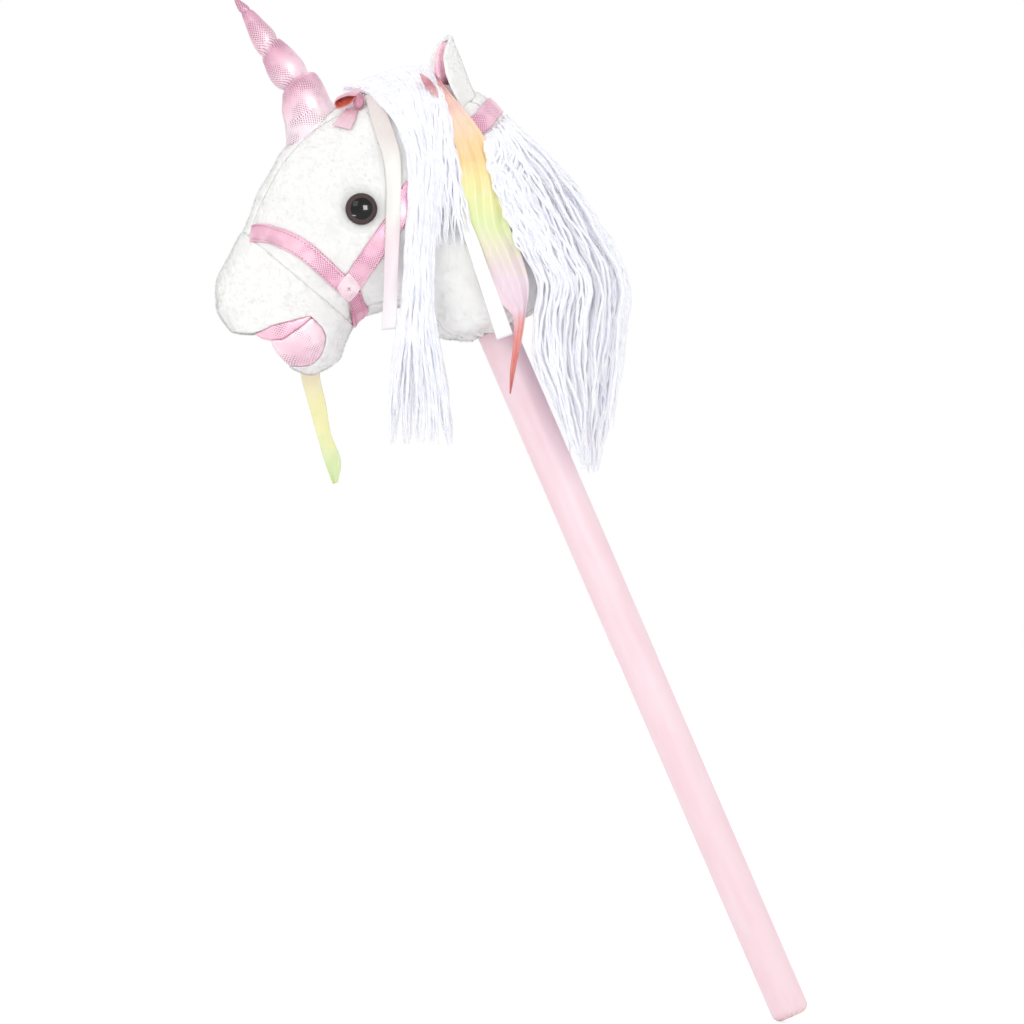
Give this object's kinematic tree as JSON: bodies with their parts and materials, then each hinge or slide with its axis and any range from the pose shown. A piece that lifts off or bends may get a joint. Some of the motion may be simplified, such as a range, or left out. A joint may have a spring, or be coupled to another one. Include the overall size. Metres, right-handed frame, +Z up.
{
  "type": "hobby horse",
  "caption": "Stuffed unicorn stick horse: a plush head with horn, bridle, yarn mane and satin ribbons on a round painted wooden pole, ridden with the pole held in front.",
  "frame": {"origin": "middle of the rider's grip, on the axis of the pole", "axes": "+Z up, the horse looks along -X, its left side is -Y; the pole leans back as it is ridden"},
  "size_m": [0.4612, 0.131, 0.7976],
  "materials": {
    "pole_paint": "matte pink paint",
    "disc_wood": "bare plywood",
    "screw_steel": "zinc plated",
    "liner_cloth": "plain woven",
    "tie_cord": "braided",
    "plush": "short pile",
    "filling": "loose fibre",
    "foil": "metallic dotted foil cloth",
    "pale_foil": "metallic dotted foil cloth",
    "thread": "twisted",
    "eye": "polished",
    "washer": "moulded",
    "yarn": "twisted yarn",
    "tape": "woven",
    "ribbon_cream": "satin",
    "ribbon_yellow": "satin",
    "ribbon_salmon": "satin",
    "ribbon_lime": "satin",
    "ribbon_red": "satin"
  },
  "bodies": {
    "horse": {"pole": "pole_paint", "stop_disc": "disc_wood", "stop_screw": "screw_steel", "pole_liner": "liner_cloth", "neck_tie": "tie_cord", "skin_muzzle": "plush", "skin_left_side": "plush", "skin_right_side": "plush", "skin_forehead_gusset": "plush", "skin_throat_gusset": "plush", "filling_muzzle": "filling", "filling_head": "filling", "filling_neck": "filling", "mouth_roof": "foil", "lower_lip": "foil", "eye_left": "eye", "eye_right": "eye", "eye_washer_left": "washer", "eye_washer_right": "washer", "horn_cover": "foil", "horn_filling": "filling", "horn_thread_1": "thread", "horn_thread_2": "thread", "horn_thread_3": "thread", "ear_left_root": "plush", "ear_right_root": "plush", "noseband_left": "foil", "noseband_right": "foil", "headstall": "foil", "chin_strap": "foil", "strap_patch_left": "pale_foil", "strap_patch_right": "pale_foil", "mane_tape": "tape", "mane_left": "yarn", "mane_right": "yarn", "forelock_roll": "yarn", "forelock_left": "yarn", "forelock_right": "yarn", "short_lock_left": "yarn", "ribbon_rainbow": "ribbon_yellow", "bow_loop": "ribbon_red", "bow_tail": "ribbon_salmon"},
    "ear_left": {"ear_left_outer": "plush", "ear_left_lining": "foil"},
    "ear_right": {"ear_right_outer": "plush", "ear_right_lining": "foil"},
    "cheek_ribbon": {"ribbon_cheek": "ribbon_cream"},
    "side_tails": {"ribbon_rainbow_tail": "ribbon_salmon", "ribbon_white": "ribbon_cream"},
    "far_ribbon": {"ribbon_far": "ribbon_lime"}
  },
  "joints": [
    {"name": "ear_left_fold", "type": "hinge", "parent": "horse", "child": "ear_left", "pos_m": [-0.06262, -0.01151, 0.28985], "axis": [-0.4431, 0.8935, -0.0733], "range_deg": [0, 40], "stiffness_Nm_per_rad": 0.02},
    {"name": "ear_right_fold", "type": "hinge", "parent": "horse", "child": "ear_right", "pos_m": [-0.06262, 0.01151, 0.28985], "axis": [0.4431, 0.8935, 0.0733], "range_deg": [0, 40], "stiffness_Nm_per_rad": 0.02},
    {"name": "cheek_swing", "type": "hinge", "parent": "horse", "child": "cheek_ribbon", "pos_m": [-0.1299, -0.0329, 0.257], "axis": [-0.9805, 0, -0.1966], "range_deg": [0, 60]},
    {"name": "tail_swing", "type": "hinge", "parent": "horse", "child": "side_tails", "pos_m": [-0.03821, -0.05005, 0.13765], "axis": [-0.9958, 0, -0.0916], "range_deg": [0, 60]},
    {"name": "far_swing", "type": "hinge", "parent": "horse", "child": "far_ribbon", "pos_m": [-0.15016, 0.03139, 0.25194], "axis": [0.9923, 0, 0.1239], "range_deg": [0, 60]}
  ]
}
